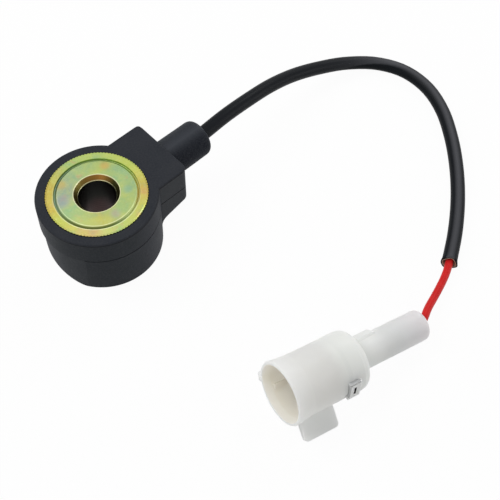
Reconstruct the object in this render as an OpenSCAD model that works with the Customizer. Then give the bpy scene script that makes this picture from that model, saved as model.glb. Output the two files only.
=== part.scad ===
// Engine knock sensor with a pigtail and a one-way connector, lying flange up.
// A steel bush carries a piezo stack inside a moulded housing, and a bolt goes through the bush.
// Millimetres. +Z is the bolt axis, z = 0 is the resting plane, +X runs out along the cable neck.

/* [Bush] */
// Diameter of the bolt bore
bore_d = 8.4; // [6.5:0.1:10.5]
// Wall of the shank round the bore
shank_wall = 1.8; // [1.2:0.05:3]
// Thickness of the knurled flange
flange_t = 2.6; // [2:0.1:4]
// How far the flange reaches past the stack, as its seat in the housing
flange_lip = 1.15; // [0.8:0.05:2]
// Number of teeth in the flange's knurl
knurl_teeth = 100; // [60:1:120]
// Depth of the knurl's teeth
knurl_depth = 0.2; // [0.1:0.05:0.3]
// Extra radius of the countersink at the face
csk_reach = 0.85; // [0.3:0.05:1.3]
// Depth of the countersink
csk_depth = 1.2; // [0.8:0.1:1.9]
// Radial distance from the flange's rim to the middle of the ring groove
groove_inset = 2.2; // [1.2:0.1:2.6]
// Width of the ring groove
groove_w = 0.8; // [0.4:0.1:1.2]
// Depth of the ring groove
groove_depth = 0.4; // [0.1:0.05:0.6]
// Width of each lock groove on the shank
lock_w = 0.6; // [0.3:0.1:0.8]
// Depth of each lock groove on the shank
lock_depth = 0.4; // [0.2:0.1:0.8]

/* [Stack] */
// Thickness of each contact plate
plate_t = 0.4; // [0.3:0.05:0.6]
// Diameter of the contact plates
plate_d = 19.6; // [17:0.1:21]
// Thickness of the piezo ring
piezo_t = 2.6; // [2:0.1:4]
// How much smaller than the plates the piezo ring is
piezo_less = 0.4; // [0:0.1:1]
// Thickness of the insulating washer
washer_t = 0.6; // [0.4:0.1:1]
// How much larger than the plates the insulating washer is
washer_more = 0.2; // [0:0.1:0.6]
// Thickness of the seismic mass
mass_t = 4.2; // [3:0.1:7]
// How much larger than the plates the seismic mass is
mass_more = 0.3; // [0:0.1:0.6]
// Chamfer on the seismic mass
mass_chamfer = 0.4; // [0.2:0.1:0.8]
// Overall height of the disc spring
spring_h = 1.1; // [0.9:0.1:1.6]
// Thickness of the disc spring
spring_t = 0.7; // [0.4:0.1:0.8]
// Diameter of the disc spring
spring_d = 17.6; // [16:0.1:19]
// Thickness of the ring nut
nut_t = 2.6; // [2:0.1:4]
// How much smaller than the spring the ring nut is
nut_less = 0.4; // [0:0.1:1]
// Width of the ring nut's spanner slots
nut_slot_w = 1.6; // [1:0.1:2.4]
// Depth of the ring nut's spanner slots
nut_slot_depth = 1; // [0.5:0.1:1.4]
// Wall of the insulating sleeve round the shank
sleeve_wall = 0.4; // [0.3:0.05:0.8]

/* [Housing] */
// Height from the resting plane to the ring nut
foot_h = 3.8; // [3:0.1:6]
// Width of the plastic rim round the flange
rim_w = 2.2; // [1.2:0.05:3]
// How far each metal face stands proud of the plastic
metal_proud = 0.25; // [0.1:0.05:0.4]
// Extra radius at the parting line
belly = 0.1; // [0.05:0.05:0.4]
// How much narrower the body is at its foot than at its top
foot_inset = 0.05; // [0:0.05:0.4]
// Radius of the body's bottom edge
foot_r = 0.5; // [0.3:0.1:1.4]
// Chamfer along the top edge
top_chamfer = 0.25; // [0.1:0.05:0.4]
// Height of the parting line below the top
parting_drop = 6.3; // [5.8:0.1:7]
// Width of the fine parting groove
parting_w = 0.2; // [0.1:0.05:0.3]
// Depth of the fine parting groove
parting_depth = 0.12; // [0.05:0.01:0.2]
// Depth of the flattened side of the lower body, opposite the neck
flat_depth = 0.95; // [0.4:0.05:1.3]
// Radius of that flattened side
flat_r = 19; // [16:0.5:40]

/* [Cable block] */
// Width of the cable block
block_w = 16.8; // [14:0.1:18]
// How far the block's middle lies to one side of the neck's axis
block_shift = 0.35; // [0:0.05:0.6]
// How far the block reaches past the round body
block_reach = 5.6; // [5.5:0.05:8]
// Height of the block's end face, with its rounded foot
block_end_h = 10.5; // [10.2:0.1:12]
// Slope of the block's underside, in degrees
block_slope = 16; // [10:1:30]
// Radius of the block's upright corners
block_corner_r = 1.5; // [0.8:0.1:2.5]
// Radius of the block's lower end edge
block_foot_r = 1.1; // [0.6:0.1:1.6]
// Radius of the hollow where the underside meets the body
block_root_r = 2.3; // [1:0.1:2.6]
// Diameter of the cable neck
neck_d = 9.1; // [7.5:0.1:9.4]
// Length of the neck past the block
neck_len = 11; // [8:0.1:14]
// Depth of the neck's axis below the top of the housing
neck_drop = 5.15; // [4.8:0.05:5.4]
// Radius of the neck's end edge
neck_edge_r = 1.6; // [0.8:0.1:2]
// How much slimmer the neck is at its end
neck_draft = 0.1; // [0:0.05:0.2]
// Depth of the cable sleeve's seat in the neck
seat_depth = 3.8; // [2:0.1:6]

/* [Contacts] */
// Width of the signal plate's tab
signal_tab_w = 4; // [3:0.1:5]
// Width of the ground plate's tab
ground_tab_w = 2.6; // [2:0.1:3.2]
// Gap between the two tabs
tab_gap = 1.4; // [1:0.1:1.8]
// Outer diameter of the crimp ferrule
ferrule_d = 2; // [1.8:0.1:2.4]
// Length of the crimp ferrule
ferrule_len = 3.8; // [3:0.1:4.2]
// Length of the chip resistor, across the gap
chip_len = 3.2; // [2.8:0.1:3.4]
// Width of the chip resistor
chip_w = 1.6; // [1.2:0.1:1.8]
// Thickness of the chip resistor
chip_t = 0.6; // [0.4:0.1:0.9]

/* [Cable] */
// Outer diameter of the cable sleeve
cable_d = 3.4; // [3.3:0.1:3.6]
// Wall of the black sleeve
cable_wall = 0.28; // [0.2:0.02:0.3]
// Wall of the sleeve's tan lining
lining_wall = 0.22; // [0.15:0.01:0.25]
// Diameter of the red insulation
wire_d = 1.8; // [1.6:0.1:1.9]
// Diameter of the copper core
core_d = 1; // [0.8:0.1:1.1]

/* [Connector] */
// Diameter of the connector's barrel
barrel_d = 13.3; // [13:0.1:15]
// Length of the barrel
barrel_len = 18.6; // [17:0.1:21]
// Radius of the barrel's rear edge
barrel_edge_r = 1.5; // [0.8:0.1:2]
// How much the mouth's rim flares out
mouth_flare = 0.45; // [0.1:0.05:0.6]
// Length of the flare
flare_len = 4.2; // [3:0.1:7]
// Diameter of the mouth
mouth_d = 11.8; // [10.5:0.1:12.2]
// Extra radius at the mouth's bevelled entry
lead_reach = 0.5; // [0.2:0.05:0.7]
// Length of the bevelled entry
lead_len = 1.6; // [0.8:0.1:3]
// Depth of the mouth
mouth_depth = 11; // [9.5:0.1:12]
// Height of the raised band near the barrel's rear
band_h = 0.08; // [0.05:0.01:0.3]
// Length of the raised band
band_len = 3.4; // [2:0.1:5]
// Diameter of the stem
stem_d = 7; // [6.6:0.1:8]
// Length of the stem
stem_len = 18.6; // [17:0.1:24]
// Radius of the stem's rear edge
stem_edge_r = 0.9; // [0.3:0.1:1]
// Length of the fin along the barrel
fin_len = 8.4; // [6:0.1:11]
// Distance from the mouth to the fin
fin_setback = 2; // [1:0.1:4]
// How far the fin stands out from the barrel
fin_h = 5; // [3:0.05:5.1]
// Thickness of the fin
fin_t = 1.1; // [0.8:0.1:1.6]
// Radius of the fin's outer corners
fin_corner_r = 0.8; // [0.3:0.1:1.5]
// Angle from the fin to the retainer's window, in degrees
window_angle = -50; // [-60:1:-40]
// Angle from the fin to the lug on the rim, in degrees
lug_angle = 111; // [80:1:140]
// Height of the lug
lug_h = 1.3; // [0.8:0.1:2]
// Width of the lug
lug_w = 1.6; // [1:0.1:3]
// Length of the lug
lug_len = 3; // [1.5:0.1:5]
// Length of the rib on the stem
rib_len = 6; // [4:0.1:10]
// Height of the rib above the stem
rib_h = 0.3; // [0.2:0.05:1]
// Width of the rib
rib_w = 3; // [2:0.1:4]
// Height of the guide ribs in the mouth
guide_h = 0.5; // [0.3:0.05:0.8]
// Width of the guide ribs in the mouth
guide_w = 1; // [0.6:0.1:1.6]

/* [Terminal] */
// Width of the male blade
blade_w = 2.3; // [1.8:0.1:2.6]
// Thickness of the male blade
blade_t = 0.64; // [0.5:0.02:0.8]
// Distance from the mouth's rim to the blade's tip
blade_setback = 4.6; // [4.2:0.1:6]
// Width of the terminal's box
box_w = 2.8; // [2.6:0.1:3]
// Height of the terminal's box
box_h = 2.2; // [2:0.1:2.4]
// Length of the terminal's box
box_len = 7.5; // [6:0.1:8]
// Length of each crimp
crimp_len = 2.6; // [2:0.1:3]
// Thickness of the terminal's sheet
sheet_t = 0.35; // [0.25:0.05:0.4]
// Length of the wire seal
seal_len = 6.4; // [4:0.1:7]
// Diameter of the wire seal
seal_d = 4.8; // [4.2:0.1:5]
// Length of the retainer along the connector
clip_len = 2.4; // [2:0.1:3]
// Width of the retainer
clip_w = 3.8; // [3:0.1:4.6]
// How far the retainer stands proud of the barrel
clip_proud = 0.45; // [0.3:0.05:0.8]
// Width of the dark slot in the retainer
slot_w = 0.6; // [0.3:0.05:0.8]
// Length of that slot
slot_len = 2; // [1:0.1:2.8]

/* [Fit] */
// Radial gap between neighbouring pieces
fit_gap = 0.05; // [0.02:0.01:0.08]
// Radial gap between the stack and the housing
stack_gap = 0.1; // [0.05:0.01:0.2]
// Gap round the contacts in the block
pocket_gap = 0.3; // [0.2:0.05:0.4]

/* [Hidden] */
$fn = 96;
eps = 0.01;

// Radii of the bush and of the stack round it
bore_r = bore_d / 2;
shank_r = bore_r + shank_wall;
tube_r = shank_r + fit_gap + sleeve_wall;
ring_r = tube_r + fit_gap;
piezo_d = plate_d - piezo_less;
washer_d = plate_d + washer_more;
mass_d = plate_d + mass_more;
nut_d = spring_d - nut_less;
cavity_r = max(mass_d, washer_d, spring_d) / 2 + stack_gap;
flange_r = cavity_r + flange_lip;
body_r = flange_r + rim_w;
flat_face_x = -(body_r + belly - flat_depth);

// Heights, from the resting plane up through the stack
nut_z = foot_h;
spring_z = nut_z + nut_t;
mass_z = spring_z + spring_h;
washer_z = mass_z + mass_t;
signal_z = washer_z + washer_t;
piezo_z = signal_z + plate_t;
ground_z = piezo_z + piezo_t;
flange_z = ground_z + plate_t;
top_z = flange_z + flange_t;
body_z0 = metal_proud;
body_z1 = top_z - metal_proud;
parting_z = body_z1 - parting_drop;
lock_z = [foot_h * 0.3, foot_h * 0.65];

// Cable block and neck
block_x = body_r + block_reach;
neck_x = block_x + neck_len;
neck_z = body_z1 - neck_drop;
seat_x = neck_x - seat_depth;
block_foot_z = body_z1 - block_end_h;

// Contacts, laid out from the stack's edge to the block's end wall
tab_top = neck_z - 0.85 * ferrule_d / 2;
tab_z = tab_top - plate_t;
bend_x = cavity_r + 0.5;
end_wall = 1.2;
pocket_x = block_x - end_wall;
tab_end_x = pocket_x - pocket_gap;
ferrule_x = tab_end_x - ferrule_len;
chip_x = ferrule_x - chip_w / 4;
ground_y = -(signal_tab_w / 2 + tab_gap + ground_tab_w);
chip_y = -(ferrule_d / 2 + 0.2);
wire_hole_r = wire_d / 2 + fit_gap;

// Connector, in its own frame: x runs from the mouth to the rear, and the fin points down
barrel_r = barrel_d / 2;
stem_r = stem_d / 2;
connector_len = barrel_len + stem_len;
cell_w = box_w + 2 * fit_gap;
cell_h = box_h + 2 * fit_gap;
wall_x = mouth_depth;
box_x = wall_x + 0.4;
core_crimp_x = box_x + box_len + 0.4;
wire_crimp_x = core_crimp_x + crimp_len + 0.4;
crimp_r = wire_d / 2 + fit_gap + sheet_t;
chamber_x = wire_crimp_x + crimp_len + 0.3;
chamber_r = seal_d / 2 + fit_gap;
clip_x = wall_x + 1.6;

// Its place: the barrel's rear edge and the stem's end both rest on the table
connector_tilt = 9.2;
connector_yaw = -11.8;
connector_roll = -50.5;
rest_x = barrel_len - barrel_edge_r;
mouth_z = (barrel_r - barrel_edge_r) * cos(connector_tilt) + barrel_edge_r + rest_x * sin(connector_tilt);
mouth_pos = [-0.8, -57.86, mouth_z];

// The cable's route from the neck's end face to the sleeve's cut end
SLEEVE_ROUTE = [[38, 0.4, 13], [46, 0.9, 12.1], [54.5, 1.6, 10.2], [63, 1.8, 7.5], [71.5, 0.7, 4.8],
    [79, -1.8, 3], [85.5, -6.6, 2], [89, -13, 1.7], [89.2, -20.5, 1.7], [86.5, -28, 1.7],
    [81.3, -35.6, 1.7], [75, -42.6, 1.7], [68, -48.9, 1.7], [60.5, -54.4, 1.7], [52.7, -59.1, 1.7]];
// The bare wire's route from the sleeve's cut end to the connector
WIRE_ROUTE = [[49.6, -60.6, 1.7], [46.5, -61.7, 1.8], [42.9, -62.8, 2.2], [39.3, -63.9, 3],
    [36.7, -65, 3.4]];

function in_connector(x) = mouth_pos + x * [cos(connector_tilt) * cos(connector_yaw),
    cos(connector_tilt) * sin(connector_yaw), -sin(connector_tilt)];
neck_axis = function(x) [x, 0, neck_z];
sleeve_path = concat([neck_axis(seat_x), neck_axis(neck_x)], SLEEVE_ROUTE);
free_path = concat(SLEEVE_ROUTE, WIRE_ROUTE, [in_connector(connector_len)]);
wire_path = concat([neck_axis(pocket_x), neck_axis(neck_x)], free_path, [in_connector(wire_crimp_x)]);
core_path = concat([neck_axis(ferrule_x + 0.3), neck_axis(neck_x)], free_path,
    [in_connector(core_crimp_x + 0.2)]);

// Points of an arc about [x, y]
function arc(centre, r, from, to, steps = 6) =
    [for (i = [0:steps]) let (a = from + (to - from) * i / steps) centre + r * [cos(a), sin(a)]];

// Directions along a path, and one ring of points square to it at each point
function unit(v) = v / norm(v);
function heading(p, i) = unit(p[min(i + 1, len(p) - 1)] - p[max(i - 1, 0)]);
function side(t) = unit(cross([0, 0, 1], t));
function ring(c, t, r, sides) = [for (k = [0:sides - 1])
    let (a = 360 * k / sides) c + r * (cos(a) * side(t) + sin(a) * cross(t, side(t)))];
function rings(p, r, sides) = [for (i = [0:len(p) - 1]) each ring(p[i], heading(p, i), r, sides)];
// The faces of a tube wall from ring to ring, turned inwards for a bore
function wall(n, sides, first, inwards) = [for (i = [0:n - 2]) for (k = [0:sides - 1])
    let (a = first + i * sides + k, b = first + i * sides + (k + 1) % sides,
        q = [a, b, b + sides, a + sides]) each
        inwards ? [[q[0], q[1], q[2]], [q[0], q[2], q[3]]] : [[q[2], q[1], q[0]], [q[3], q[2], q[0]]]];

// A solid cord along a path
module cord(p, r, sides = 8) {
    n = len(p);
    polyhedron(rings(p, r, sides), concat(wall(n, sides, 0, false),
        [[for (k = [0:sides - 1]) k]], [[for (k = [sides - 1:-1:0]) (n - 1) * sides + k]]));
}

// A hollow cord along a path
module tube(p, r_out, r_in, sides = 8) {
    n = len(p);
    m = n * sides;
    last = (n - 1) * sides;
    polyhedron(concat(rings(p, r_out, sides), rings(p, r_in, sides)),
        concat(wall(n, sides, 0, false), wall(n, sides, m, true),
            [for (k = [0:sides - 1]) let (j = (k + 1) % sides) each [[k, j, m + j], [k, m + j, m + k]]],
            [for (k = [0:sides - 1]) let (j = (k + 1) % sides) each
                [[last + j, last + k, m + last + k], [last + j, m + last + k, m + last + j]]]));
}

// A ring between two radii
module washer(r_in, r_out, h) {
    difference() {
        cylinder(r = r_out, h = h);
        translate([0, 0, -eps]) cylinder(r = r_in, h = h + 2 * eps);
    }
}

// The flange's toothed rim
module knurl(h) {
    linear_extrude(h) polygon([for (i = [0:2 * knurl_teeth - 1])
        let (a = 180 * i / knurl_teeth, r = flange_r - (i % 2) * knurl_depth) r * [cos(a), sin(a)]]);
}

// Turned steel bush: shank, knurled flange, ring groove, countersink and bolt bore
module metal_bush() {
    rim = flange_r - knurl_depth - 0.05;
    bevel = metal_proud / 2;
    groove_r = flange_r - groove_inset;
    color([0.78, 0.8, 0.42]) difference() {
        union() {
            rotate_extrude() polygon([[0, 0], [shank_r - 0.3, 0], [shank_r, 0.3], [shank_r, flange_z],
                [rim, flange_z], [rim, top_z - bevel], [rim - bevel, top_z], [0, top_z]]);
            translate([0, 0, flange_z + 0.3]) knurl(flange_t - 0.3 - bevel);
        }
        translate([0, 0, -eps]) cylinder(d = bore_d, h = top_z + 2 * eps);
        translate([0, 0, top_z - csk_depth])
            cylinder(r1 = bore_r, r2 = bore_r + csk_reach, h = csk_depth + eps);
        // The groove's inner wall slopes, and its outer wall is steep
        translate([0, 0, top_z]) rotate_extrude() polygon(
            [[groove_r - groove_w / 2, eps], [groove_r + groove_w * 0.1, -groove_depth],
            [groove_r + groove_w * 0.35, -groove_depth], [groove_r + groove_w / 2, eps]]);
        for (z = lock_z) translate([0, 0, z]) washer(shank_r - lock_depth, shank_r + 1, lock_w);
    }
}

// A contact plate's tab: out from the ring, up or down to the wire's level, and on to its end
module tab(plate_z, y, w, end_x) {
    low = min(plate_z, tab_z);
    high = max(plate_z, tab_z) + plate_t;
    translate([ring_r + 0.5, y, plate_z]) cube([bend_x - ring_r - 0.5 + plate_t, w, plate_t]);
    translate([bend_x, y, low]) cube([plate_t, w, high - low]);
    translate([bend_x, y, tab_z]) cube([end_x - bend_x, w, plate_t]);
}

// Brass contact ring that earths the piezo ring to the flange
module ground_plate() {
    color([0.86, 0.72, 0.36]) difference() {
        union() {
            translate([0, 0, ground_z]) cylinder(d = plate_d, h = plate_t);
            tab(ground_z, ground_y, ground_tab_w, chip_x + chip_w + 0.4);
        }
        translate([0, 0, ground_z - eps]) cylinder(r = shank_r + fit_gap, h = plate_t + 2 * eps);
    }
}

// Ceramic ring that makes the signal
module piezo_ring() {
    color([0.82, 0.8, 0.74]) translate([0, 0, piezo_z]) washer(ring_r, piezo_d / 2, piezo_t);
}

// Brass contact ring that takes the signal to the wire
module signal_plate() {
    color([0.86, 0.72, 0.36]) difference() {
        union() {
            translate([0, 0, signal_z]) cylinder(d = plate_d, h = plate_t);
            tab(signal_z, -signal_tab_w / 2, signal_tab_w, tab_end_x);
        }
        translate([0, 0, signal_z - eps]) cylinder(r = ring_r, h = plate_t + 2 * eps);
    }
}

// Washer that keeps the signal plate off the seismic mass
module insulating_washer() {
    color([0.9, 0.86, 0.7]) translate([0, 0, washer_z]) washer(ring_r, washer_d / 2, washer_t);
}

// Tube that keeps the stack off the shank
module insulating_sleeve() {
    color([0.92, 0.9, 0.84]) translate([0, 0, mass_z]) washer(shank_r + fit_gap, tube_r, ground_z - mass_z);
}

// Steel ring that presses on the piezo ring
module seismic_mass() {
    r = mass_d / 2;
    c = mass_chamfer;
    color([0.6, 0.6, 0.62]) translate([0, 0, mass_z]) rotate_extrude() polygon([[ring_r, 0], [r - c, 0],
        [r, c], [r, mass_t - c], [r - c, mass_t], [ring_r, mass_t]]);
}

// Conical spring washer: its rim bears on the mass and its inner edge on the nut
module disc_spring() {
    r_in = shank_r + fit_gap;
    rise = spring_h - spring_t;
    color([0.45, 0.46, 0.5]) translate([0, 0, spring_z]) rotate_extrude() polygon([[r_in, 0],
        [spring_d / 2, rise], [spring_d / 2, spring_h], [r_in, spring_t]]);
}

// Ring nut with four spanner slots in its underside
module clamp_nut() {
    color([0.66, 0.66, 0.66]) translate([0, 0, nut_z]) difference() {
        washer(shank_r + fit_gap / 2, nut_d / 2, nut_t);
        for (a = [45:90:315]) rotate([0, 0, a])
            translate([shank_r + 0.6, -nut_slot_w / 2, -eps]) cube([nut_d, nut_slot_w, nut_slot_depth]);
    }
}

// Chip that bridges the two tabs
module shunt_resistor() {
    color([0.15, 0.16, 0.2]) translate([chip_x, chip_y - chip_len, tab_top]) cube([chip_w, chip_len, chip_t]);
}

// Tube crimped on the copper, with a flat foot welded to the signal tab
module crimp_ferrule() {
    r = ferrule_d / 2;
    color([0.8, 0.8, 0.78]) difference() {
        translate([ferrule_x, 0, neck_z]) rotate([0, 90, 0]) cylinder(r = r, h = ferrule_len);
        translate([ferrule_x - eps, 0, neck_z]) rotate([0, 90, 0])
            cylinder(r = core_d / 2 + fit_gap / 2, h = ferrule_len + 2 * eps);
        translate([ferrule_x - 1, -r - 1, tab_top - 2]) cube([ferrule_len + 2, 2 * r + 2, 2]);
    }
}

// The round body: draft, belly at the parting line, rounded foot and chamfered top
module round_body() {
    foot_side = body_r - foot_inset;
    groove_z = parting_w / 2;
    belly_r = body_r + belly;
    difference() {
        rotate_extrude() polygon(concat([[0, body_z0]],
            arc([foot_side - foot_r, body_z0 + foot_r], foot_r, -90, 0),
            [[belly_r, parting_z - groove_z], [belly_r - parting_depth, parting_z - groove_z],
            [belly_r - parting_depth, parting_z + groove_z], [belly_r, parting_z + groove_z],
            [body_r, body_z1 - top_chamfer], [body_r - top_chamfer, body_z1], [0, body_z1]]));
        difference() {
            translate([-1.5 * body_r, -body_r, 0]) cube([body_r, 2 * body_r, parting_z]);
            translate([flat_face_x + flat_r, 0, -1]) cylinder(r = flat_r, h = parting_z + 2);
        }
    }
}

// The block's outline seen from above, drawn in by a margin
module block_plan(margin) {
    w = block_w / 2 - margin;
    c = block_corner_r;
    x = block_x - margin;
    translate([0, block_shift]) {
        translate([0, -w]) square([x - c, 2 * w]);
        translate([0, c - w]) square([x, 2 * (w - c)]);
        for (s = [-1, 1]) translate([x - c, s * (w - c)]) circle(r = c);
    }
}

// The block's outline seen from the side: sloping underside, hollow root and rounded end edge
module block_side() {
    foot = [block_x - block_foot_r, block_foot_z + block_foot_r];
    root_x = sqrt(pow(body_r, 2) - pow(block_w / 2 - block_shift, 2)) + block_root_r;
    slope = block_slope;
    low = foot + block_foot_r * [sin(slope), -cos(slope)];
    run = low[0] - root_x + block_root_r * sin(slope);
    root = [root_x, low[1] - run * tan(slope) - block_root_r * cos(slope)];
    polygon(concat([[0, root[1]]], arc(root, block_root_r, 180, 90 + slope),
        arc(foot, block_foot_r, slope - 90, 0),
        [[block_x, body_z1 - top_chamfer], [block_x - top_chamfer, body_z1], [0, body_z1]]));
}

// The block's outline seen from its end, with chamfered top edges
module block_end() {
    w = block_w / 2;
    translate([block_shift, 0])
        polygon([[-w, 0], [w, 0], [w, body_z1 - top_chamfer], [w - top_chamfer, body_z1],
            [top_chamfer - w, body_z1], [-w, body_z1 - top_chamfer]]);
}

// The cable block, with its share of the parting groove
module cable_block() {
    difference() {
        intersection() {
            linear_extrude(body_z1 + 1) block_plan(0);
            translate([0, block_w, 0]) rotate([90, 0, 0]) linear_extrude(2 * block_w) block_side();
            rotate([90, 0, 90]) linear_extrude(block_x + 1) block_end();
        }
        translate([0, 0, parting_z - parting_w / 2]) difference() {
            translate([1, -block_w, 0]) cube([block_x + 1, 2 * block_w, parting_w]);
            translate([0, 0, -1]) linear_extrude(parting_w + 2) block_plan(parting_depth);
        }
    }
}

// The round neck that the cable leaves through
module cable_neck() {
    r = neck_d / 2;
    e = neck_edge_r;
    len_in = neck_x - body_r;
    translate([body_r, 0, neck_z]) rotate([0, 90, 0]) rotate_extrude() polygon(concat(
        [[0, 0], [r, 0]], arc([r - neck_draft - e, len_in - e], e, 0, 90), [[0, len_in]]));
}

// The hollow that holds the bush and the stack
module stack_cavity() {
    difference() {
        translate([0, 0, -1]) cylinder(r = shank_r + fit_gap, h = nut_z + 2);
        for (z = lock_z) translate([0, 0, z + fit_gap])
            washer(shank_r + fit_gap - lock_depth, shank_r + 1, lock_w - 2 * fit_gap);
    }
    translate([0, 0, nut_z]) cylinder(r = cavity_r, h = flange_z - nut_z + eps);
    translate([0, 0, flange_z]) cylinder(r = flange_r + fit_gap, h = flange_t + 1);
}

// The hollow that holds the tabs, the resistor and the ferrule, with the way out to the neck's end
module contact_pocket() {
    y0 = ground_y - pocket_gap;
    z0 = min(tab_z, signal_z) - pocket_gap;
    translate([ring_r, y0, z0])
        cube([pocket_x - ring_r, signal_tab_w / 2 + pocket_gap - y0, flange_z - z0]);
    translate([pocket_x - 1, 0, neck_z]) rotate([0, 90, 0]) cylinder(r = wire_hole_r, h = neck_x - pocket_x);
    translate([seat_x, 0, neck_z]) rotate([0, 90, 0])
        cylinder(r = cable_d / 2 + fit_gap, h = seat_depth + 1);
}

// Black moulded housing: round body, cable block and neck in one piece
module housing() {
    color([0.2, 0.21, 0.24]) difference() {
        union() {
            round_body();
            cable_block();
            cable_neck();
        }
        stack_cavity();
        contact_pocket();
    }
}

// Loose black sleeve, from its seat in the neck to its cut end
module cable_sleeve() {
    color([0.13, 0.14, 0.16]) tube(sleeve_path, cable_d / 2, cable_d / 2 - cable_wall);
}

// Tan layer inside the sleeve
module sleeve_lining() {
    r = cable_d / 2 - cable_wall;
    color([0.7, 0.58, 0.44]) tube(sleeve_path, r, r - lining_wall);
}

// Red insulation of the single wire
module wire_insulation() {
    color([0.82, 0.14, 0.16]) tube(wire_path, wire_d / 2, core_d / 2);
}

// Copper core, from the ferrule to the terminal's crimp
module wire_core() {
    color([0.85, 0.5, 0.3]) cord(core_path, core_d / 2);
}

// Puts a piece drawn in the connector's own frame where the connector lies
module at_connector() {
    translate(mouth_pos) rotate([connector_roll, connector_tilt, connector_yaw]) children();
}

// The connector's turned outline: flared mouth, raised band, rounded shoulder and stem
module connector_body() {
    band_x = barrel_len - barrel_edge_r - band_len;
    band_ramp = 12 * band_h;
    rotate([0, 90, 0]) rotate_extrude() polygon(concat(
        [[0, 0], [barrel_r + mouth_flare - 0.2, 0], [barrel_r + mouth_flare, 0.3], [barrel_r, flare_len],
        [barrel_r, band_x - band_ramp], [barrel_r + band_h, band_x], [barrel_r + band_h, band_x + band_len - 0.4]],
        arc([barrel_r - barrel_edge_r, barrel_len - barrel_edge_r], barrel_edge_r, 0, 90),
        [[stem_r + 0.5, barrel_len], [stem_r, barrel_len + 0.5]],
        arc([stem_r - stem_edge_r, connector_len - stem_edge_r], stem_edge_r, 0, 90),
        [[0, connector_len]]));
}

// The flat fin that keeps the connector from rolling, with rounded outer corners
module fin() {
    c = fin_corner_r;
    tip = barrel_r + fin_h;
    root = barrel_r - 0.6;
    translate([0, fin_t / 2, 0]) rotate([90, 0, 0]) linear_extrude(fin_t) {
        translate([fin_setback, c - tip]) square([fin_len, tip - c - root]);
        translate([fin_setback + c, -tip]) square([fin_len - 2 * c, tip - root]);
        for (x = [c, fin_len - c]) translate([fin_setback + x, c - tip]) circle(r = c);
    }
}

// A wedge on the mouth's rim
module rim_lug() {
    low = barrel_r - 0.3;
    tip = barrel_r + mouth_flare + lug_h;
    rotate([lug_angle, 0, 0]) translate([0, lug_w / 2, 0]) rotate([90, 0, 0]) linear_extrude(lug_w)
        polygon([[0, -low], [0, -tip + 0.4], [0.4, -tip], [lug_len * 0.4, -tip], [lug_len, -low]]);
}

// The long pad on the stem, opposite the fin
module stem_rib() {
    translate([barrel_len - 1, -rib_w / 2, 0]) cube([rib_len + 1, rib_w, stem_r + rib_h]);
}

// White connector body: mouth with guide ribs, terminal cell, seal chamber and retainer window
module connector_housing() {
    boss = 0.3;
    boss_w = clip_w + 0.8;
    color([0.9, 0.91, 0.89]) at_connector() difference() {
        union() {
            difference() {
                union() {
                    connector_body();
                    fin();
                    rim_lug();
                    stem_rib();
                    rotate([window_angle, 0, 0]) translate([clip_x - boss, -boss_w / 2, -barrel_r - boss])
                        cube([clip_len + 2 * boss, boss_w, barrel_r - mouth_d / 2 + 0.3]);
                }
                translate([-1, 0, 0]) rotate([0, 90, 0]) cylinder(d = mouth_d, h = mouth_depth + 1);
                translate([-eps, 0, 0]) rotate([0, 90, 0])
                    cylinder(r1 = mouth_d / 2 + lead_reach, r2 = mouth_d / 2, h = lead_len);
            }
            for (a = [90, 210, 330]) rotate([a, 0, 0])
                translate([2, -guide_w / 2, -mouth_d / 2 - 0.3]) cube([mouth_depth - 1, guide_w, guide_h + 0.3]);
        }
        rotate([window_angle, 0, 0]) {
            translate([wall_x - 1, -cell_w / 2, -cell_h / 2]) cube([box_len + 1.6, cell_w, cell_h]);
            translate([clip_x - fit_gap, -clip_w / 2 - fit_gap, -barrel_r - 2])
                cube([clip_len + 2 * fit_gap, clip_w + 2 * fit_gap, barrel_r + 2]);
        }
        translate([box_x + box_len, 0, 0]) rotate([0, 90, 0])
            cylinder(r = crimp_r + fit_gap, h = chamber_x - box_x - box_len + 1);
        translate([chamber_x, 0, 0]) rotate([0, 90, 0]) cylinder(r = chamber_r, h = connector_len);
    }
}

// Male terminal: tapered blade, box, core crimp and wire crimp on one strip of sheet
module blade_terminal() {
    web_z = -min(crimp_r - 0.12, box_h / 2);
    color([0.82, 0.8, 0.72]) at_connector() rotate([window_angle, 0, 0]) difference() {
        union() {
            translate([0, 0, -blade_t / 2]) linear_extrude(blade_t) polygon([[blade_setback, -blade_w / 4],
                [blade_setback + 1, -blade_w / 2], [box_x + 1, -blade_w / 2], [box_x + 1, blade_w / 2],
                [blade_setback + 1, blade_w / 2], [blade_setback, blade_w / 4]]);
            translate([box_x, -box_w / 2, -box_h / 2]) cube([box_len, box_w, box_h]);
            translate([core_crimp_x, 0, 0]) rotate([0, 90, 0])
                cylinder(r = core_d / 2 + fit_gap + sheet_t, h = crimp_len);
            translate([wire_crimp_x, 0, 0]) rotate([0, 90, 0]) cylinder(r = crimp_r, h = crimp_len);
            translate([box_x + box_len - 0.5, -0.5, web_z])
                cube([wire_crimp_x - box_x - box_len + 1, 1, sheet_t]);
            translate([box_x + box_len - 0.5, -0.5, web_z]) cube([0.5, 1, -web_z]);
            translate([core_crimp_x, -0.5, web_z]) cube([crimp_len, 1, -web_z - core_d / 2 - 0.08]);
        }
        translate([box_x + 1.4, -box_w / 2 + sheet_t, -box_h / 2 + sheet_t])
            cube([box_len, box_w - 2 * sheet_t, box_h - 2 * sheet_t]);
        translate([core_crimp_x - eps, 0, 0]) rotate([0, 90, 0])
            cylinder(r = core_d / 2 + fit_gap, h = crimp_len + 2 * eps);
        translate([wire_crimp_x - 0.2, 0, 0]) rotate([0, 90, 0])
            cylinder(r = wire_d / 2 + fit_gap, h = crimp_len + 1);
    }
}

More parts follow.
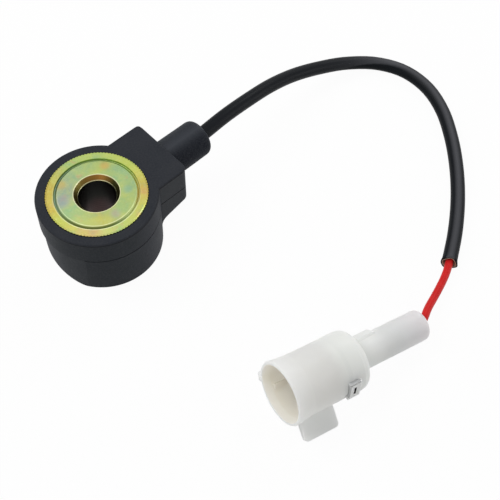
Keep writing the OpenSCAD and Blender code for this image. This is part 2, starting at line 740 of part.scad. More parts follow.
// Rubber seal with three ribs, round the wire in the stem
module wire_seal() {
    r = seal_d / 2;
    waist = r - 0.35;
    pitch = seal_len / 3;
    color([0.75, 0.76, 0.78]) at_connector() translate([chamber_x, 0, 0]) rotate([0, 90, 0]) rotate_extrude()
        polygon(concat([[wire_hole_r, 0]],
            [for (i = [0:2]) each [[waist, i * pitch], [r, (i + 0.3) * pitch], [r, (i + 0.7) * pitch],
                [waist, (i + 1) * pitch]]],
            [[wire_hole_r, seal_len]]));
}

// Clip that closes the window, holds the terminal's box and shows a dark slot
module terminal_retainer() {
    deep = box_h / 2 + fit_gap;
    color([0.93, 0.94, 0.92]) at_connector() rotate([window_angle, 0, 0]) difference() {
        translate([clip_x, -clip_w / 2, -barrel_r - clip_proud])
            cube([clip_len, clip_w, barrel_r + clip_proud - deep]);
        translate([clip_x + clip_len * 0.35, -slot_len / 2, -barrel_r - clip_proud - 1])
            cube([slot_w, slot_len, 2.6]);
    }
}

housing();
metal_bush();
ground_plate();
piezo_ring();
signal_plate();
insulating_washer();
insulating_sleeve();
seismic_mass();
disc_spring();
clamp_nut();
shunt_resistor();
crimp_ferrule();
cable_sleeve();
sleeve_lining();
wire_insulation();
wire_core();
connector_housing();
blade_terminal();
wire_seal();
terminal_retainer();
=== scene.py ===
"""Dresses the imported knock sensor: camera, cords, materials, floor and lights.

The scene is in metres, in the row frame. The cords' points and sizes are in millimetres, as in the part's
source, and MM turns them into metres.
"""
import math

import bmesh
import bpy
from mathutils import Matrix, Vector


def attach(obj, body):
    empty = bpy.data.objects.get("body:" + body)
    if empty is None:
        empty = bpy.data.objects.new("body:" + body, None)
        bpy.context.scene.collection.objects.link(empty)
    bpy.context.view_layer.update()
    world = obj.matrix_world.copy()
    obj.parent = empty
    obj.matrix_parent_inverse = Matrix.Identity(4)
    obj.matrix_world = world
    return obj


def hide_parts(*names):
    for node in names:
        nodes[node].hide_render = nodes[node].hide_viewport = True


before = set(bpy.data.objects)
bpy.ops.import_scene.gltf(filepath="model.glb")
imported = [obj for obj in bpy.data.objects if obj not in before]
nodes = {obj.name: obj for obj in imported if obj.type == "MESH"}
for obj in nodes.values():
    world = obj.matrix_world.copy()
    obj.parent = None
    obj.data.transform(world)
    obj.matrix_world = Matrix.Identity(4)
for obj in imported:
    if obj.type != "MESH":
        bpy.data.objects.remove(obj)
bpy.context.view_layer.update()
scene = bpy.context.scene
MM = 0.001


# Camera, fitted to the photograph

CAMERA_PLACE = Vector((-60.844, -106.823, 186.991))
CAMERA_RIGHT = Vector((0.72513, -0.68827, 0.02173))
CAMERA_DOWN = Vector((-0.57565, -0.6232, -0.52938))
CAMERA_FORWARD = Vector((0.3779, 0.37136, -0.8481))
SENSOR_W = 36.0
LENS = 68.67


def make_camera():
    data = bpy.data.cameras.new("camera")
    data.sensor_width = SENSOR_W
    data.lens = LENS
    data.clip_start = 0.01
    data.clip_end = 20
    camera = bpy.data.objects.new("camera", data)
    scene.collection.objects.link(camera)
    turn = Matrix((CAMERA_RIGHT, -CAMERA_DOWN, -CAMERA_FORWARD)).transposed().to_4x4()
    camera.matrix_world = Matrix.Translation(CAMERA_PLACE * MM) @ turn
    scene.camera = camera


make_camera()


# Cords: the points repeat those in the part's source, in millimetres

NECK_Z = 12.9  # the neck's axis
SEAT_X = 26.2  # the sleeve's start, inside the neck
NECK_X = 30.0  # the neck's end
IN_HOUSING = (18, 22, 26)  # the wire's points along x, from the ferrule on
SLEEVE_ROUTE = [(38, 0.4, 13), (46, 0.9, 12.1), (54.5, 1.6, 10.2), (63, 1.8, 7.5), (71.5, 0.7, 4.8),
                (79, -1.8, 3), (85.5, -6.6, 2), (89, -13, 1.7), (89.2, -20.5, 1.7), (86.5, -28, 1.7),
                (81.3, -35.6, 1.7), (75, -42.6, 1.7), (68, -48.9, 1.7), (60.5, -54.4, 1.7),
                (52.7, -59.1, 1.7)]
WIRE_ROUTE = [(49.6, -60.6, 1.7), (46.5, -61.7, 1.8), (42.9, -62.8, 2.2), (39.3, -63.9, 3),
              (36.7, -65, 3.4)]
IN_STEM = (37.2, 36, 34)  # from the stem's end on, measured back from the mouth
IN_SEAL = (30, 26, 22.6)  # on to the terminal's crimp

SLEEVE_R = 1.7
SLEEVE_OVAL = 0.04
SLEEVE_WALL = 0.28
LINING_GAP = 0.01
LINING_WALL = 0.21
LINING_SLANT = 0.9  # share of the cut end's slant that the lining follows
CUT = 0.985  # share of the length at which the cut end begins
WIRE_R = 0.9
WIRE_BORE_R = 0.5
SLEEVE_SIDES = 24
WIRE_SIDES = 20
SLEEVE_STEP = 1.1
WIRE_STEP = 0.9

# The connector lies on its barrel's rear edge with its mouth tipped up
TILT = math.radians(9.2)
YAW = math.radians(-11.8)
BARREL_R = 6.65
BARREL_LEN = 18.6
EDGE_R = 1.5
REST_X = BARREL_LEN - EDGE_R
MOUTH = Vector((-0.8, -57.86,
                (BARREL_R - EDGE_R) * math.cos(TILT) + EDGE_R + REST_X * math.sin(TILT)))
AXIS = Vector((math.cos(TILT) * math.cos(YAW), math.cos(TILT) * math.sin(YAW), -math.sin(TILT)))
CLIP_TURN = math.radians(-100.5)
CLIP_OUT = (Matrix.Rotation(YAW, 3, "Z") @ Matrix.Rotation(TILT, 3, "Y")
            @ Matrix.Rotation(CLIP_TURN, 3, "X") @ Vector((0, 0, -1)))


def in_connector(x):
    """A point on the connector's axis, x behind the mouth."""
    return MOUTH + x * AXIS


def smooth(points, per=8):
    """A finer path through the points, by Catmull-Rom steps with centripetal spacing."""
    p = [Vector(q) for q in points]
    p = [2 * p[0] - p[1]] + p + [2 * p[-1] - p[-2]]
    out = []
    for i in range(1, len(p) - 2):
        a, b, c, d = p[i - 1], p[i], p[i + 1], p[i + 2]
        t1 = (b - a).length ** 0.5
        t2 = t1 + (c - b).length ** 0.5
        t3 = t2 + (d - c).length ** 0.5
        for k in range(per):
            t = t1 + (t2 - t1) * k / per
            u = (t1 - t) / t1 * a + t / t1 * b
            v = (t2 - t) / (t2 - t1) * b + (t - t1) / (t2 - t1) * c
            w = (t3 - t) / (t3 - t2) * c + (t - t2) / (t3 - t2) * d
            uv = (t2 - t) / t2 * u + t / t2 * v
            vw = (t3 - t) / (t3 - t1) * v + (t - t1) / (t3 - t1) * w
            out.append((t2 - t) / (t2 - t1) * uv + (t - t1) / (t2 - t1) * vw)
    out.append(p[-2])
    return out


def even(path, step):
    """The same path with points about one step apart."""
    out = [path[0]]
    for q in path[1:]:
        if (q - out[-1]).length >= step:
            out.append(q)
    if (path[-1] - out[-1]).length < step * 0.5:
        out[-1] = path[-1]
    else:
        out.append(path[-1])
    return out


def stations(path):
    """Each point with two directions across the path and one along it, without twist."""
    out = []
    side = None
    for i, p in enumerate(path):
        t = (path[min(i + 1, len(path) - 1)] - path[max(i - 1, 0)]).normalized()
        if side is None:
            side = Vector((0, 0, 1)).cross(t).normalized()
        side = (side - side.dot(t) * t).normalized()
        out.append((p, side, t.cross(side), t))
    return out


def sweep(name, path, outer, inner, sides):
    """A tube along the path. outer and inner turn (share of its length, angle) into (radius, shift along it)."""
    bm = bmesh.new()
    along_path = stations(path)

    def rings(radius):
        out = []
        for i, (p, u, v, t) in enumerate(along_path):
            ring = []
            for j in range(sides):
                a = 2 * math.pi * j / sides
                r, along = radius(i / (len(along_path) - 1), a)
                ring.append(bm.verts.new((p + r * (math.cos(a) * u + math.sin(a) * v) + along * t) * MM))
            out.append(ring)
        return out

    def skin(a, b, flip):
        for j in range(sides):
            k = (j + 1) % sides
            quad = (a[j], a[k], b[k], b[j])
            bm.faces.new(quad[::-1] if flip else quad)

    outside = rings(outer)
    inside = rings(inner)
    for skin_rings, flip in ((outside, False), (inside, True)):
        for a, b in zip(skin_rings, skin_rings[1:]):
            skin(a, b, flip)
    skin(outside[0], inside[0], True)
    skin(outside[-1], inside[-1], False)
    bmesh.ops.recalc_face_normals(bm, faces=bm.faces)
    mesh = bpy.data.meshes.new(name)
    bm.to_mesh(mesh)
    bm.free()
    for f in mesh.polygons:
        f.use_smooth = True
    obj = bpy.data.objects.new(name, mesh)
    scene.collection.objects.link(obj)
    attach(obj, "root")
    return obj


def sleeve_outline(share, a):
    """Slightly oval, with a cut end that is a little flared, uneven and slanted."""
    s = max(0.0, (share - CUT) / (1 - CUT))
    flare = 0.16 * s * s * (1 + 0.5 * math.sin(2 * a + 0.8) + 0.4 * math.sin(3 * a + 2.1))
    along = s * (0.35 * math.sin(a + 2.6) + 0.18 * math.sin(3 * a + 0.4))
    oval = SLEEVE_OVAL * math.cos(2 * a) * min(1, share * 6)
    return SLEEVE_R + oval + flare, along


def inset(depth, slant=1.0):
    """The sleeve's outline drawn in by a depth, with a share of its slant."""
    def outline(share, a):
        r, along = sleeve_outline(share, a)
        return r - depth, along * slant
    return outline


def even_round(r):
    return lambda share, a: (r, 0)


neck_end = Vector((NECK_X, 0, NECK_Z))
sleeve_path = even(smooth([Vector((SEAT_X, 0, NECK_Z)), neck_end] + SLEEVE_ROUTE), SLEEVE_STEP)
free_path = smooth([neck_end] + SLEEVE_ROUTE + WIRE_ROUTE + [in_connector(x) for x in IN_STEM])
wire_path = even([Vector((x, 0, NECK_Z)) for x in IN_HOUSING] + free_path
                 + [in_connector(x) for x in IN_SEAL], WIRE_STEP)
lining_depth = SLEEVE_WALL + LINING_GAP

sleeve = sweep("sleeve_tube", sleeve_path, sleeve_outline, inset(SLEEVE_WALL), SLEEVE_SIDES)
lining = sweep("lining_tube", sleeve_path, inset(lining_depth, LINING_SLANT),
               inset(lining_depth + LINING_WALL, LINING_SLANT), SLEEVE_SIDES)
wire = sweep("wire_tube", wire_path, even_round(WIRE_R), even_round(WIRE_BORE_R), WIRE_SIDES)
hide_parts("cable_sleeve")
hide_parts("sleeve_lining")
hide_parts("wire_insulation")


# Materials

def srgb(r, g, b):
    """A colour given as 0 to 255 screen values, as linear light."""
    def linear(c):
        c /= 255
        return c / 12.92 if c <= 0.04045 else ((c + 0.055) / 1.055) ** 2.4
    return (linear(r), linear(g), linear(b))


class Shader:
    """Builds one node material. Lengths are in metres, and tones are screen values from 0 to 255."""

    def __init__(self, name):
        self.mat = bpy.data.materials.new(name)
        self.mat.use_nodes = True
        self.tree = self.mat.node_tree
        self.tree.nodes.clear()
        out = self.tree.nodes.new("ShaderNodeOutputMaterial")
        self.bsdf = self.tree.nodes.new("ShaderNodeBsdfPrincipled")
        self.link(self.bsdf.outputs[0], out.inputs[0])
        self.place = self.tree.nodes.new("ShaderNodeTexCoord").outputs["Object"]

    def link(self, a, b):
        self.tree.links.new(a, b)

    def put(self, value, socket):
        """Links an output to the socket, or gives the socket a number, a vector or a colour."""
        if isinstance(value, (int, float)):
            socket.default_value = value
        elif isinstance(value, tuple):
            socket.default_value = (*value, 1) if socket.type == "RGBA" else value
        else:
            self.link(value, socket)

    def axes(self):
        s = self.tree.nodes.new("ShaderNodeSeparateXYZ")
        self.link(self.place, s.inputs[0])
        return s.outputs

    def shifted(self, *shift):
        m = self.tree.nodes.new("ShaderNodeMapping")
        m.inputs["Location"].default_value = shift
        self.link(self.place, m.inputs["Vector"])
        return m.outputs[0]

    def noise(self, scale, detail=3, rough=0.55, vector=None, distort=0.0):
        n = self.tree.nodes.new("ShaderNodeTexNoise")
        n.inputs["Scale"].default_value = scale
        n.inputs["Detail"].default_value = detail
        n.inputs["Roughness"].default_value = rough
        n.inputs["Distortion"].default_value = distort
        self.link(vector or self.place, n.inputs["Vector"])
        return n.outputs["Fac"]

    def math(self, op, a, b=0.0, c=0.0):
        m = self.tree.nodes.new("ShaderNodeMath")
        m.operation = op
        for value, socket in zip((a, b, c), m.inputs):
            self.put(value, socket)
        return m.outputs[0]

    def plus(self, a, b):
        return self.math("ADD", a, b)

    def times(self, first, *others):
        for other in others:
            first = self.math("MULTIPLY", first, other)
        return first

    def vector(self, op, a, b):
        m = self.tree.nodes.new("ShaderNodeVectorMath")
        m.operation = op
        self.put(a, m.inputs[0])
        self.put(b, m.inputs[1])
        return m.outputs["Value" if op in ("DOT_PRODUCT", "DISTANCE") else "Vector"]

    def smoothstep(self, value, zero, one):
        """0 at one end and 1 at the other, whichever is larger."""
        m = self.tree.nodes.new("ShaderNodeMapRange")
        m.interpolation_type = "SMOOTHSTEP"
        m.inputs["From Min"].default_value = zero
        m.inputs["From Max"].default_value = one
        self.link(value, m.inputs["Value"])
        return m.outputs[0]

    def band(self, value, low, high, soft):
        """1 where the value lies between low and high, with soft edges."""
        up = self.smoothstep(value, low - soft, low + soft)
        down = self.smoothstep(value, high - soft, high + soft)
        return self.math("SUBTRACT", up, down)

    def spot(self, x, y, radius):
        """A soft round patch on the flange's face."""
        away = self.vector("DISTANCE", self.place, (x, y, FACE_Z))
        return self.math("SUBTRACT", 1.0, self.smoothstep(away, radius * 0.25, radius))

    def mix(self, fac, a, b, mode="MIX"):
        m = self.tree.nodes.new("ShaderNodeMix")
        m.data_type = "RGBA"
        m.blend_type = mode
        for value, socket in ((fac, m.inputs[0]), (a, m.inputs[6]), (b, m.inputs[7])):
            self.put(value, socket)
        return m.outputs[2]

    def ramp(self, fac, stops):
        r = self.tree.nodes.new("ShaderNodeValToRGB")
        ramp = r.color_ramp
        while len(ramp.elements) < len(stops):
            ramp.elements.new(0.5)
        for element, (place, color) in zip(ramp.elements, stops):
            element.position = place
            element.color = (*color, 1)
        self.link(fac, r.inputs[0])
        return r.outputs[0]

    def grey(self, fac, stops):
        return self.ramp(fac, [(place, (v, v, v)) for place, v in stops])

    def tones(self, fac, stops):
        return self.ramp(fac, [(place, srgb(*tone)) for place, *tone in stops])

    def mottled(self, noise, low, high):
        """Drifts between two tones with a noise."""
        return self.mix(self.grey(noise, [(0.3, 0.0), (0.7, 1.0)]), srgb(*low), srgb(*high))

    def finish(self, color, rough, grain, strength, distance, **values):
        """Joins the colour, the roughness and a fine bump, and sets the surface's other values."""
        self.link(color, self.bsdf.inputs["Base Color"])
        self.link(rough, self.bsdf.inputs["Roughness"])
        bump = self.tree.nodes.new("ShaderNodeBump")
        bump.inputs["Strength"].default_value = strength
        bump.inputs["Distance"].default_value = distance
        self.link(grain, bump.inputs["Height"])
        self.link(bump.outputs[0], self.bsdf.inputs["Normal"])
        for key, value in values.items():
            self.bsdf.inputs[key.replace("_", " ")].default_value = value
        return self.mat


FACE_Z = 18.3 * MM  # the flange's face
SINK_Z = 17.0 * MM  # the lower end of the bore's countersink
MILKY = (1.0, 0.98, 0.95)  # how far red, green and blue go under the white surfaces


def black_plastic():
    """Fine-grained black, with painted shade on the walls towards the front, a painted highlight on the block's
    side, painted highlight and shade across the neck, and painted shade along the parting line and just under the
    top edge.
    """
    s = Shader("black_moulded_plastic")
    x, y, z = s.axes()
    broad = s.noise(180)
    fine = s.noise(2600, 2)
    base = s.mottled(broad, (41, 44, 50), (49, 51, 56))
    walls = s.smoothstep(z, 17.6 * MM, 17.4 * MM)
    # Painted shade: the walls towards the front are darkened.
    front = s.times(walls, s.smoothstep(s.plus(x, y), -9 * MM, -16 * MM))
    base = s.mix(s.times(front, 0.6), base, srgb(33, 38, 40))
    # Painted highlight: the block's side is lightened.
    block = s.times(s.smoothstep(y, -7.7 * MM, -8 * MM), s.smoothstep(x, 10.6 * MM, 11.2 * MM))
    base = s.mix(s.times(block, walls, 0.7), base, srgb(58, 60, 62))
    # Painted highlight and shade on the neck: lightest along its middle, darkest towards its -y side.
    neck = s.tones(s.math("MULTIPLY_ADD", y, 110, 0.5), [
        (0.13, 26, 29, 36), (0.2, 30, 33, 40), (0.3, 47, 50, 56), (0.42, 62, 65, 71), (0.52, 54, 57, 63),
        (0.64, 46, 49, 54)])
    base = s.mix(s.smoothstep(x, 18.8 * MM, 19.6 * MM), base, neck)
    base = s.mix(s.grey(fine, [(0.35, 0.0), (0.75, 0.4)]), base, srgb(62, 64, 68))
    # Painted shade in the parting line.
    parting = s.times(s.band(z, 11.64 * MM, 11.86 * MM, 0.03 * MM), 0.85)
    # Painted shade: a dark line just under the top edge.
    edge = s.times(s.band(z, 17.5 * MM, 17.8 * MM, 0.06 * MM), 0.9)
    return s.finish(s.mix(s.plus(parting, edge), base, srgb(16, 17, 19)),
                    s.grey(broad, [(0.2, 0.5), (0.8, 0.62)]), fine, 0.35, 0.1 * MM, Specular_IOR_Level=0.06)


def zinc_film(s, radius, turn, tint):
    """The flange's face: the outer ring and the inner disc drift apart in tint, with soft spots."""
    outer = s.tones(turn, [
        (0.0, 184, 192, 92), (0.07, 200, 196, 104), (0.12, 208, 176, 122), (0.16, 204, 204, 130),
        (0.22, 184, 208, 124), (0.32, 196, 200, 104), (0.38, 204, 170, 90), (0.42, 202, 178, 90),
        (0.50, 186, 198, 98), (0.63, 178, 198, 110), (0.76, 170, 194, 116), (0.86, 190, 168, 78),
        (0.93, 194, 174, 80), (1.0, 184, 192, 92)])
    inner = s.tones(turn, [
        (0.0, 146, 182, 134), (0.09, 172, 190, 122), (0.16, 190, 188, 104), (0.27, 158, 188, 128),
        (0.38, 160, 184, 122), (0.50, 152, 184, 132), (0.62, 168, 186, 112), (0.74, 156, 184, 132),
        (0.86, 152, 168, 144), (1.0, 146, 182, 134)])
    film = s.mix(s.smoothstep(radius, 8.6 * MM, 9.2 * MM), inner, outer)
    film = s.mix(s.grey(tint, [(0.42, 0.0), (0.7, 0.5)]), film, srgb(190, 190, 98))
    film = s.mix(s.grey(tint, [(0.25, 0.5), (0.42, 0.0)]), film, srgb(138, 180, 150))
    blush = s.noise(420, 3, 0.6, s.shifted(7.7, 2.3, 1.2), 0.3)
    film = s.mix(s.grey(blush, [(0.58, 0.0), (0.74, 0.5)]), film, srgb(204, 158, 122))
    fleck = s.noise(1300, 3, 0.7, s.shifted(2.9, 8.1, 3.3))
    film = s.mix(s.grey(fleck, [(0.3, 0.22), (0.5, 0.0), (0.72, 0.25)]), film, srgb(206, 210, 160))
    for x, y, r, tone, much in ((-6.9, 3.3, 2.6, (150, 154, 164), 0.6), (5.9, 4.6, 1.6, (200, 152, 92), 0.5),
                                (-4.4, 6.9, 1.7, (196, 164, 90), 0.5), (5.6, -3.7, 1.6, (138, 176, 150), 0.6),
                                (-0.4, -6.9, 1.8, (158, 166, 160), 0.5)):
        film = s.mix(s.times(s.spot(x * MM, y * MM, r * MM), much), film, srgb(*tone))
    return film


def zinc_groove(s, film, radius, turn, z):
    """The ring groove: painted shade and reflection on its slope, toned by its angle round the ring, painted shade
    on its steep wall, and painted highlights along both of its borders on the near side.
    """
    sunk = s.smoothstep(z, FACE_Z - 0.01 * MM, FACE_Z - 0.18 * MM)
    # Painted shade and reflection: the slope's tone follows its angle round the ring, darkest on the near side.
    shade = s.tones(turn, [
        (0.0, 112, 132, 92), (0.06, 84, 98, 52), (0.2, 92, 108, 58), (0.28, 172, 190, 132),
        (0.38, 184, 168, 104), (0.5, 160, 182, 118), (0.7, 156, 182, 126), (0.8, 126, 158, 140),
        (0.92, 120, 152, 136), (1.0, 112, 132, 92)])
    slope = s.times(s.band(radius, 8.64 * MM, 9.3 * MM, 0.06 * MM), sunk)
    film = s.mix(s.times(slope, 0.9), film, shade)
    # Painted shade on the steep wall.
    wall = s.times(s.band(radius, 9.24 * MM, 9.4 * MM, 0.04 * MM), sunk)
    film = s.mix(s.times(wall, 0.4), film, srgb(80, 96, 60))
    # Painted highlights along the groove's borders, on the near side.
    near = s.grey(turn, [(0.0, 0.7), (0.08, 1.0), (0.24, 1.0), (0.36, 0.3), (0.5, 0.0), (0.8, 0.0), (1.0, 0.7)])
    edge_highlights = s.plus(s.band(radius, 9.42 * MM, 9.58 * MM, 0.04 * MM),
                   s.band(radius, 8.46 * MM, 8.62 * MM, 0.04 * MM))
    edge_highlights = s.times(edge_highlights, near, s.smoothstep(z, FACE_Z - 0.15 * MM, FACE_Z - 0.02 * MM))
    return s.mix(s.times(edge_highlights, 0.75), film, srgb(232, 238, 190))


def zinc_bore(s, film, radius, turn, z):
    """The countersink in painted shade, in browns toned by its angle, painted highlights on its upper and lower
    lip, and the bore in painted shade, darker deeper down, with fine turning lines.
    """
    sink = s.times(s.smoothstep(radius, 5.06 * MM, 4.96 * MM), s.smoothstep(z, SINK_Z, SINK_Z + 0.2 * MM))
    # Painted shade in the countersink, toned by its angle round the ring.
    film = s.mix(sink, film, s.tones(turn, [
        (0.0, 92, 84, 42), (0.3, 62, 64, 32), (0.5, 74, 72, 36), (0.63, 148, 104, 50), (0.8, 98, 88, 44),
        (1.0, 92, 84, 42)]))
    # Painted highlights on the countersink's two lip lines.
    lower_lip_highlight = s.times(s.band(radius, 4.22 * MM, 4.32 * MM, 0.03 * MM),
                        s.band(z, SINK_Z, SINK_Z + 0.25 * MM, 0.04 * MM))
    lip_highlights = s.plus(s.band(radius, 4.99 * MM, 5.19 * MM, 0.04 * MM), lower_lip_highlight)
    film = s.mix(s.times(lip_highlights, 0.7), film, srgb(236, 232, 190))
    # Painted shade in the bore, darker deeper down, with the turning lines drawn through it.
    hollow = s.times(s.smoothstep(radius, 4.28 * MM, 4.23 * MM),
                     s.smoothstep(z, SINK_Z + 0.05 * MM, SINK_Z - 0.1 * MM))
    lines = s.plus(s.times(s.math("SINE", s.times(z, 9000)), 0.5), 0.5)
    dark = s.mix(lines, srgb(52, 36, 36), srgb(66, 48, 46))
    dark = s.mix(s.smoothstep(z, 8.5 * MM, 12.5 * MM), dark, srgb(34, 36, 30))
    return s.mix(hollow, film, dark)


def yellow_zinc():
    """Iridescent yellow passivation on turned steel, with painted shade on the knurled rim where it meets the
    plastic.
    """
    s = Shader("yellow_zinc_plate")
    x, y, z = s.axes()
    radius = s.math("SQRT", s.plus(s.times(x, x), s.times(y, y)))
    wander = s.noise(230, 3, 0.5, s.shifted(3.1, 1.7, 0.4))
    turn = s.plus(s.math("DIVIDE", s.math("ARCTAN2", y, x), 2 * math.pi), 0.5)
    turn = s.plus(turn, s.times(s.math("SUBTRACT", wander, 0.5), 0.1))
    tint = s.noise(330, 4, 0.6, s.shifted(0.2, 5.3, 2.2), 0.4)
    film = zinc_film(s, radius, turn, tint)
    film = zinc_groove(s, film, radius, turn, z)
    film = zinc_bore(s, film, radius, turn, z)
    # Painted shade on the knurled rim, along its meeting with the plastic.
    rim = s.smoothstep(radius, 11.08 * MM, 11.16 * MM)
    film = s.mix(s.times(rim, 0.85), film, srgb(52, 52, 30))
    film = s.mix(1.0, film, (0.9, 0.9, 0.88), "MULTIPLY")
    rings = s.times(s.math("SINE", s.times(radius, 42000)), 0.3)
    return s.finish(film, s.grey(tint, [(0.3, 0.3), (0.7, 0.42)]), s.plus(rings, s.noise(1500, 2)),
                    0.12, 0.05 * MM, Metallic=1.0)


def from_mouth(s):
    """The way from the connector's mouth, and its share along the connector's axis."""
    away = s.vector("SUBTRACT", s.place, tuple(MOUTH * MM))
    return away, s.vector("DOT_PRODUCT", away, tuple(AXIS))


def white_plastic():
    """Natural nylon: milky outside, cream inside the mouth, with the cream taken onto the inner part of the rim's
    face as painted shade of a bevel, and faintly lilac towards the stem's end.
    """
    s = Shader("natural_white_plastic")
    broad = s.noise(110, 2)
    base = s.mottled(broad, (234, 236, 232), (240, 241, 238))
    away, along = from_mouth(s)
    square = s.math("SUBTRACT", s.vector("DOT_PRODUCT", away, away), s.times(along, along))
    # Cream inside the mouth, reaching onto the inner part of the rim's face as painted shade of a bevel.
    inside = s.times(s.smoothstep(square, (6.55 * MM) ** 2, (6.35 * MM) ** 2),
                     s.smoothstep(along, 12.5 * MM, 11.5 * MM))
    base = s.mix(inside, base, srgb(243, 236, 222))
    lilac = s.times(s.smoothstep(along, 26 * MM, 37 * MM), 0.5)
    base = s.mix(lilac, base, srgb(230, 225, 233))
    return s.finish(base, s.grey(broad, [(0.2, 0.38), (0.8, 0.48)]), s.noise(1900, 2), 0.15, 0.04 * MM,
                    Subsurface_Weight=1.0, Subsurface_Radius=MILKY, Subsurface_Scale=3 * MM,
                    Specular_IOR_Level=0.2)


def clip_plastic():
    """The retaining clip: as white as the connector, with painted shade inside its slot."""
    s = Shader("clip_plastic")
    broad = s.noise(400, 2)
    base = s.mottled(broad, (230, 231, 227), (237, 238, 235))
    away, along = from_mouth(s)
    out = s.vector("DOT_PRODUCT", away, tuple(CLIP_OUT))
    across = s.vector("DOT_PRODUCT", away, tuple(AXIS.cross(CLIP_OUT)))
    # Painted shade: the inside of the slot is darkened.
    slot = s.times(s.band(along, 13.4 * MM, 14.08 * MM, 0.02 * MM),
                   s.band(across, -1.03 * MM, 1.03 * MM, 0.02 * MM), s.smoothstep(out, 7.08 * MM, 7.02 * MM))
    return s.finish(s.mix(slot, base, srgb(22, 22, 24)), s.grey(broad, [(0.2, 0.4), (0.8, 0.5)]),
                    s.noise(1900, 2), 0.15, 0.04 * MM, Subsurface_Weight=0.9, Subsurface_Radius=MILKY,
                    Subsurface_Scale=1.2 * MM, Specular_IOR_Level=0.2)


def sleeve_plastic():
    """Smooth black, with a painted sheen along the top of its last stretch."""
    s = Shader("sleeve_plastic")
    broad = s.noise(160)
    x, y, z = s.axes()
    base = s.mottled(broad, (12, 15, 19), (18, 21, 25))
    # Painted highlight: the top of the last stretch is lightened.
    painted_sheen = s.times(s.smoothstep(z, 3.0 * MM, 3.45 * MM), s.smoothstep(y, 2 * MM, -12 * MM))
    return s.finish(s.mix(painted_sheen, base, srgb(76, 77, 81)), s.grey(broad, [(0.2, 0.34), (0.8, 0.46)]),
                    s.noise(2200, 2), 0.2, 0.05 * MM, Specular_IOR_Level=0.07)


def plain(name, low, high, rough, metal=0.0, scale=300, shine=0.5):
    s = Shader(name)
    n = s.noise(scale)
    return s.finish(s.mottled(n, low, high), s.grey(n, [(0.2, rough - 0.05), (0.8, rough + 0.07)]),
                    s.noise(scale * 7, 2), 0.15, 0.04 * MM, Metallic=metal, Specular_IOR_Level=shine)


LOOKS = {
    "housing": black_plastic(),
    "metal_bush": yellow_zinc(),
    "ground_plate": plain("brass", (206, 176, 100), (220, 192, 118), 0.3, 1.0),
    "piezo_ring": plain("ceramic", (196, 190, 172), (210, 204, 188), 0.6),
    "insulating_washer": plain("amber_film", (206, 186, 128), (218, 200, 146), 0.4),
    "seismic_mass": plain("turned_steel", (160, 160, 164), (184, 184, 188), 0.35, 1.0),
    "disc_spring": plain("blued_steel", (92, 94, 104), (120, 122, 132), 0.35, 1.0),
    "shunt_resistor": plain("chip", (34, 34, 38), (48, 48, 54), 0.4),
    "crimp_ferrule": plain("tinned", (196, 194, 184), (214, 212, 204), 0.32, 1.0),
    "wire_core": plain("copper", (204, 128, 84), (222, 150, 104), 0.34, 1.0, 900),
    "connector_housing": white_plastic(),
    "wire_seal": plain("seal_rubber", (178, 180, 186), (196, 198, 202), 0.6),
    "terminal_retainer": clip_plastic(),
}
for node, same in (("signal_plate", "ground_plate"), ("insulating_sleeve", "insulating_washer"),
                   ("clamp_nut", "seismic_mass"), ("blade_terminal", "crimp_ferrule")):
    LOOKS[node] = LOOKS[same]


def dress(obj, mat):
    if not obj.material_slots:
        obj.data.materials.append(mat)
    for slot in obj.material_slots:
        slot.material = mat


for node, mat in LOOKS.items():
    dress(nodes[node], mat)
dress(sleeve, sleeve_plastic())
dress(lining, plain("tan_lining", (132, 108, 90), (160, 136, 114), 0.6))
dress(wire, plain("red_insulation", (202, 30, 30), (214, 40, 38), 0.4, 0.0, 420, 0.12))


# Floor, world and lamps

FLOOR_REACH = 3.0
FLOOR_DROP = 0.05 * MM
FLOOR_TONE = 0.9
FLOOR_SEEN = 0.96  # the rest of the floor's look is its lit surface, with the object's shadow
PLAIN_LIGHT = 0.43


def split_rays(tree, lit, seen, out, share):
    """Camera, glossy and transmission rays meet one shader for that share, and other rays only the lit one."""
    path = tree.nodes.new("ShaderNodeLightPath")
    rays = path.outputs["Is Camera Ray"]
    for name in ("Is Glossy Ray", "Is Transmission Ray"):
        add = tree.nodes.new("ShaderNodeMath")
        add.operation = "ADD"
        add.use_clamp = True
        tree.links.new(rays, add.inputs[0])
        tree.links.new(path.outputs[name], add.inputs[1])
        rays = add.outputs[0]
    keep = tree.nodes.new("ShaderNodeMath")
    keep.operation = "MULTIPLY"
    keep.inputs[1].default_value = share
    tree.links.new(rays, keep.inputs[0])
    mix = tree.nodes.new("ShaderNodeMixShader")
    tree.links.new(keep.outputs[0], mix.inputs[0])
    tree.links.new(lit.outputs[0], mix.inputs[1])
    tree.links.new(seen.outputs[0], mix.inputs[2])
    tree.links.new(mix.outputs[0], out.inputs[0])


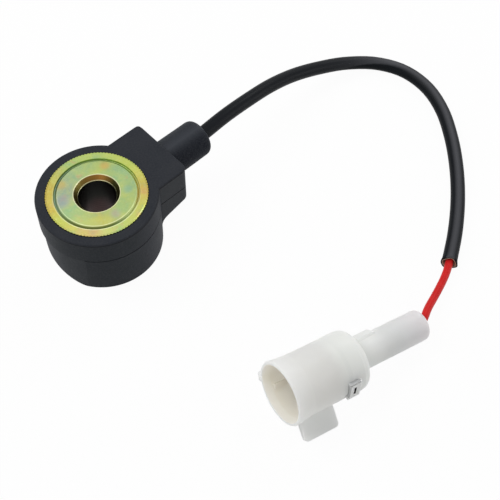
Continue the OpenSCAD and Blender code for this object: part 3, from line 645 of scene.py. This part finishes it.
def make_floor():
    mesh = bpy.data.meshes.new("floor")
    s = FLOOR_REACH
    mesh.from_pydata([(-s, -s, 0), (s, -s, 0), (s, s, 0), (-s, s, 0)], [], [(0, 1, 2, 3)])
    floor = bpy.data.objects.new("floor", mesh)
    scene.collection.objects.link(floor)
    floor.location.z = -FLOOR_DROP
    mat = bpy.data.materials.new("floor_white")
    mat.use_nodes = True
    tree = mat.node_tree
    tree.nodes.clear()
    lit = tree.nodes.new("ShaderNodeBsdfDiffuse")
    lit.inputs[0].default_value = (FLOOR_TONE, FLOOR_TONE, FLOOR_TONE, 1)
    seen = tree.nodes.new("ShaderNodeEmission")
    seen.inputs[0].default_value = (1, 1, 1, 1)
    seen.inputs[1].default_value = 1.0
    split_rays(tree, lit, seen, tree.nodes.new("ShaderNodeOutputMaterial"), FLOOR_SEEN)
    mesh.materials.append(mat)


def make_world():
    world = bpy.data.worlds.new("world")
    scene.world = world
    world.use_nodes = True
    tree = world.node_tree
    tree.nodes.clear()
    lights = []
    for strength in (PLAIN_LIGHT, 1.0):
        light = tree.nodes.new("ShaderNodeBackground")
        light.inputs[0].default_value = (1, 1, 1, 1)
        light.inputs[1].default_value = strength
        lights.append(light)
    split_rays(tree, lights[0], lights[1], tree.nodes.new("ShaderNodeOutputWorld"), 1.0)


def lamp(name, place, aim, size, power):
    data = bpy.data.lights.new(name, "AREA")
    data.shape = "SQUARE"
    data.size = size
    data.energy = power
    obj = bpy.data.objects.new(name, data)
    scene.collection.objects.link(obj)
    obj.location = place
    obj.rotation_euler = (Vector(aim) - Vector(place)).to_track_quat("-Z", "Y").to_euler()


make_floor()
make_world()
lamp("key", (-0.17, 0.26, 0.42), (0.03, -0.02, 0), 0.3, 1.3)
lamp("right", (0.4, -0.35, 0.1), (0.03, -0.03, 0), 0.25, 0.52)
lamp("left", (-0.4, -0.12, 0.16), (0.03, -0.03, 0), 0.25, 0.12)
lamp("sheen", (0.25, 0.06, 0.2), (0.086, -0.03, 0), 0.1, 0.16)
scene.view_settings.view_transform = "Standard"
